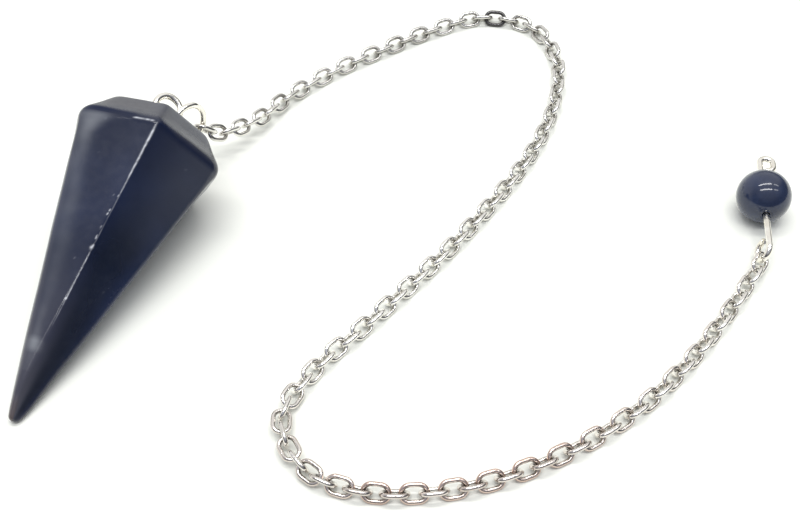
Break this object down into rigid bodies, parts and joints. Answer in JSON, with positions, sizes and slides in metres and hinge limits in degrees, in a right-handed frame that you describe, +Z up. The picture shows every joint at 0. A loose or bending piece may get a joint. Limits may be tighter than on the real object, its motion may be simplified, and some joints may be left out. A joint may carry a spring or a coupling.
{
  "type": "pendulum pendant",
  "caption": "Hexagonal polished stone point with a bevelled crown, on a fine cable chain that ends in a round bead, lying on a surface with the chain in an S.",
  "frame": {"origin": "on the surface that the pendant lies on, under the stone's resting facet, 65% of the facet's length from the sharp end", "axes": "+Z up from the surface, +X from the stone towards the bead, +Y away from a viewer who sees the stone's sharp end nearest"},
  "size_m": [0.0818, 0.0738, 0.0151],
  "materials": {
    "dark_stone": "polished navy-black stone with worn edges",
    "bead_stone": "glossy polished navy stone",
    "plated_metal": "bright plated wire, slightly warm",
    "chain_metal": "bright plated wire, lightly tarnished"
  },
  "bodies": {
    "pendant": {"stone": "dark_stone", "stone_eye": "plated_metal", "jump_ring": "plated_metal", "chain": "chain_metal", "bead_pin": "plated_metal"},
    "round_bead": {"bead": "bead_stone"}
  },
  "joints": [
    {"name": "bead_spin", "type": "hinge", "parent": "pendant", "child": "round_bead", "pos_m": [0.07222, 0.00876, 0.003], "axis": [0.1219, 0.9925, 0], "continuous": true}
  ]
}
